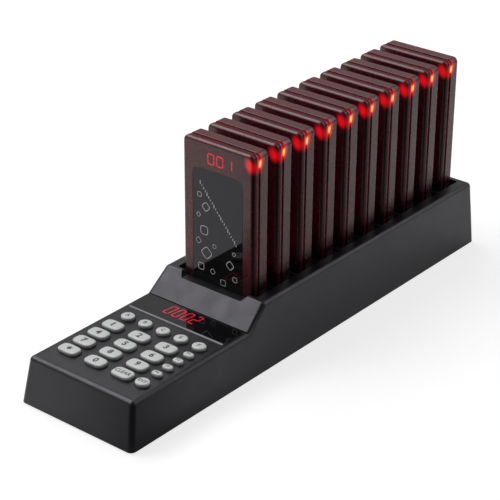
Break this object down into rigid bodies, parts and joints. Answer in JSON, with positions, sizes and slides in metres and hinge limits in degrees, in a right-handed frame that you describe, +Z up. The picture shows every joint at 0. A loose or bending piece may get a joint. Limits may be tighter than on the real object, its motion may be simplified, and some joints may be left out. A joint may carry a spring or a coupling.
{
  "type": "guest pager system",
  "caption": "Long counter-top charging base with a keypad and number display at one end and a row of upright pagers standing in its well.",
  "frame": {"origin": "on the table under the middle of the base", "axes": "+Y along the base from the keypad end to the back, +X to the right seen from the keypad end, +Z up"},
  "size_m": [0.088, 0.3472, 0.1335],
  "materials": {
    "housing": "fine spark-textured charcoal moulding",
    "lens": "polished smoked black",
    "red_display": "red seven-segment module",
    "circuit_board": "green solder resist",
    "dome_rubber": "grey silicone",
    "shield_can": "tinned steel",
    "black_plastic": "black moulding",
    "cable_grey": "flat grey cable",
    "contact_brass": "gold-flashed",
    "foot_rubber": "black rubber",
    "screw_steel": "zinc plated",
    "key_plastic": "light grey with dark legends",
    "pager_case": "smoked dark red, translucent",
    "label_gloss": "polished black",
    "call_light": "red light",
    "battery_can": "foil pouch"
  },
  "bodies": {
    "base": {"top_housing": "housing", "keypad_overlay": "housing", "display_lens": "lens", "display_module": "red_display", "main_board": "circuit_board", "dome_sheet": "dome_rubber", "radio_module": "shield_can", "antenna": "black_plastic", "link_cable": "cable_grey", "charging_tray": "black_plastic", "charge_board": "circuit_board", "charge_contacts": "contact_brass", "dc_jack": "black_plastic", "bottom_cover": "black_plastic", "rubber_feet": "foot_rubber", "cover_screws": "screw_steel", "board_screws": "screw_steel"},
    "key_1_cap": {"key_1": "key_plastic"},
    "key_2_cap": {"key_2": "key_plastic"},
    "key_3_cap": {"key_3": "key_plastic"},
    "key_4_cap": {"key_4": "key_plastic"},
    "key_5_cap": {"key_5": "key_plastic"},
    "key_6_cap": {"key_6": "key_plastic"},
    "key_7_cap": {"key_7": "key_plastic"},
    "key_8_cap": {"key_8": "key_plastic"},
    "key_9_cap": {"key_9": "key_plastic"},
    "key_star_cap": {"key_star": "key_plastic"},
    "key_0_cap": {"key_0": "key_plastic"},
    "key_clear_cap": {"key_clear": "key_plastic"},
    "key_a_cap": {"key_a": "key_plastic"},
    "key_b_cap": {"key_b": "key_plastic"},
    "key_c_cap": {"key_c": "key_plastic"},
    "key_e_cap": {"key_e": "key_plastic"},
    "key_f_cap": {"key_f": "key_plastic"},
    "key_f1_cap": {"key_f1": "key_plastic"},
    "key_f2_cap": {"key_f2": "key_plastic"},
    "key_f3_cap": {"key_f3": "key_plastic"},
    "key_f4_cap": {"key_f4": "key_plastic"},
    "key_enter_cap": {"key_enter": "key_plastic"},
    "pager_1": {"pager_1_front_shell": "pager_case", "pager_1_rear_shell": "pager_case", "pager_1_label": "label_gloss", "pager_1_display": "red_display", "pager_1_light": "call_light", "pager_1_board": "circuit_board", "pager_1_battery": "battery_can", "pager_1_motor": "shield_can", "pager_1_contacts": "contact_brass", "pager_1_screws": "screw_steel"},
    "pager_2_unit": {"pager_2": "pager_case"},
    "pager_3_unit": {"pager_3": "pager_case"},
    "pager_4_unit": {"pager_4": "pager_case"},
    "pager_5_unit": {"pager_5": "pager_case"},
    "pager_6_unit": {"pager_6": "pager_case"},
    "pager_7_unit": {"pager_7": "pager_case"},
    "pager_8_unit": {"pager_8": "pager_case"},
    "pager_9_unit": {"pager_9": "pager_case"},
    "pager_10_unit": {"pager_10": "pager_case"}
  },
  "joints": [
    {"name": "key_1_press", "type": "slide", "parent": "base", "child": "key_1_cap", "axis": [0, 0, 1], "range_m": [-0.0012, 0], "stiffness_N_per_m": 400, "springref_m": 0.0005},
    {"name": "key_2_press", "type": "slide", "parent": "base", "child": "key_2_cap", "axis": [0, 0, 1], "range_m": [-0.0012, 0], "stiffness_N_per_m": 400, "springref_m": 0.0005},
    {"name": "key_3_press", "type": "slide", "parent": "base", "child": "key_3_cap", "axis": [0, 0, 1], "range_m": [-0.0012, 0], "stiffness_N_per_m": 400, "springref_m": 0.0005},
    {"name": "key_4_press", "type": "slide", "parent": "base", "child": "key_4_cap", "axis": [0, 0, 1], "range_m": [-0.0012, 0], "stiffness_N_per_m": 400, "springref_m": 0.0005},
    {"name": "key_5_press", "type": "slide", "parent": "base", "child": "key_5_cap", "axis": [0, 0, 1], "range_m": [-0.0012, 0], "stiffness_N_per_m": 400, "springref_m": 0.0005},
    {"name": "key_6_press", "type": "slide", "parent": "base", "child": "key_6_cap", "axis": [0, 0, 1], "range_m": [-0.0012, 0], "stiffness_N_per_m": 400, "springref_m": 0.0005},
    {"name": "key_7_press", "type": "slide", "parent": "base", "child": "key_7_cap", "axis": [0, 0, 1], "range_m": [-0.0012, 0], "stiffness_N_per_m": 400, "springref_m": 0.0005},
    {"name": "key_8_press", "type": "slide", "parent": "base", "child": "key_8_cap", "axis": [0, 0, 1], "range_m": [-0.0012, 0], "stiffness_N_per_m": 400, "springref_m": 0.0005},
    {"name": "key_9_press", "type": "slide", "parent": "base", "child": "key_9_cap", "axis": [0, 0, 1], "range_m": [-0.0012, 0], "stiffness_N_per_m": 400, "springref_m": 0.0005},
    {"name": "key_star_press", "type": "slide", "parent": "base", "child": "key_star_cap", "axis": [0, 0, 1], "range_m": [-0.0012, 0], "stiffness_N_per_m": 400, "springref_m": 0.0005},
    {"name": "key_0_press", "type": "slide", "parent": "base", "child": "key_0_cap", "axis": [0, 0, 1], "range_m": [-0.0012, 0], "stiffness_N_per_m": 400, "springref_m": 0.0005},
    {"name": "key_clear_press", "type": "slide", "parent": "base", "child": "key_clear_cap", "axis": [0, 0, 1], "range_m": [-0.0012, 0], "stiffness_N_per_m": 400, "springref_m": 0.0005},
    {"name": "key_a_press", "type": "slide", "parent": "base", "child": "key_a_cap", "axis": [0, 0, 1], "range_m": [-0.0012, 0], "stiffness_N_per_m": 400, "springref_m": 0.0005},
    {"name": "key_b_press", "type": "slide", "parent": "base", "child": "key_b_cap", "axis": [0, 0, 1], "range_m": [-0.0012, 0], "stiffness_N_per_m": 400, "springref_m": 0.0005},
    {"name": "key_c_press", "type": "slide", "parent": "base", "child": "key_c_cap", "axis": [0, 0, 1], "range_m": [-0.0012, 0], "stiffness_N_per_m": 400, "springref_m": 0.0005},
    {"name": "key_e_press", "type": "slide", "parent": "base", "child": "key_e_cap", "axis": [0, 0, 1], "range_m": [-0.0012, 0], "stiffness_N_per_m": 400, "springref_m": 0.0005},
    {"name": "key_f_press", "type": "slide", "parent": "base", "child": "key_f_cap", "axis": [0, 0, 1], "range_m": [-0.0012, 0], "stiffness_N_per_m": 400, "springref_m": 0.0005},
    {"name": "key_f1_press", "type": "slide", "parent": "base", "child": "key_f1_cap", "axis": [0, 0, 1], "range_m": [-0.0012, 0], "stiffness_N_per_m": 400, "springref_m": 0.0005},
    {"name": "key_f2_press", "type": "slide", "parent": "base", "child": "key_f2_cap", "axis": [0, 0, 1], "range_m": [-0.0012, 0], "stiffness_N_per_m": 400, "springref_m": 0.0005},
    {"name": "key_f3_press", "type": "slide", "parent": "base", "child": "key_f3_cap", "axis": [0, 0, 1], "range_m": [-0.0012, 0], "stiffness_N_per_m": 400, "springref_m": 0.0005},
    {"name": "key_f4_press", "type": "slide", "parent": "base", "child": "key_f4_cap", "axis": [0, 0, 1], "range_m": [-0.0012, 0], "stiffness_N_per_m": 400, "springref_m": 0.0005},
    {"name": "key_enter_press", "type": "slide", "parent": "base", "child": "key_enter_cap", "axis": [0, 0, 1], "range_m": [-0.0012, 0], "stiffness_N_per_m": 400, "springref_m": 0.0005},
    {"name": "pager_1_lift", "type": "slide", "parent": "base", "child": "pager_1", "axis": [0, 0, 1], "range_m": [0, 0.04]},
    {"name": "pager_2_lift", "type": "slide", "parent": "base", "child": "pager_2_unit", "axis": [0, 0, 1], "range_m": [0, 0.04]},
    {"name": "pager_3_lift", "type": "slide", "parent": "base", "child": "pager_3_unit", "axis": [0, 0, 1], "range_m": [0, 0.04]},
    {"name": "pager_4_lift", "type": "slide", "parent": "base", "child": "pager_4_unit", "axis": [0, 0, 1], "range_m": [0, 0.04]},
    {"name": "pager_5_lift", "type": "slide", "parent": "base", "child": "pager_5_unit", "axis": [0, 0, 1], "range_m": [0, 0.04]},
    {"name": "pager_6_lift", "type": "slide", "parent": "base", "child": "pager_6_unit", "axis": [0, 0, 1], "range_m": [0, 0.04]},
    {"name": "pager_7_lift", "type": "slide", "parent": "base", "child": "pager_7_unit", "axis": [0, 0, 1], "range_m": [0, 0.04]},
    {"name": "pager_8_lift", "type": "slide", "parent": "base", "child": "pager_8_unit", "axis": [0, 0, 1], "range_m": [0, 0.04]},
    {"name": "pager_9_lift", "type": "slide", "parent": "base", "child": "pager_9_unit", "axis": [0, 0, 1], "range_m": [0, 0.04]},
    {"name": "pager_10_lift", "type": "slide", "parent": "base", "child": "pager_10_unit", "axis": [0, 0, 1], "range_m": [0, 0.04]}
  ]
}
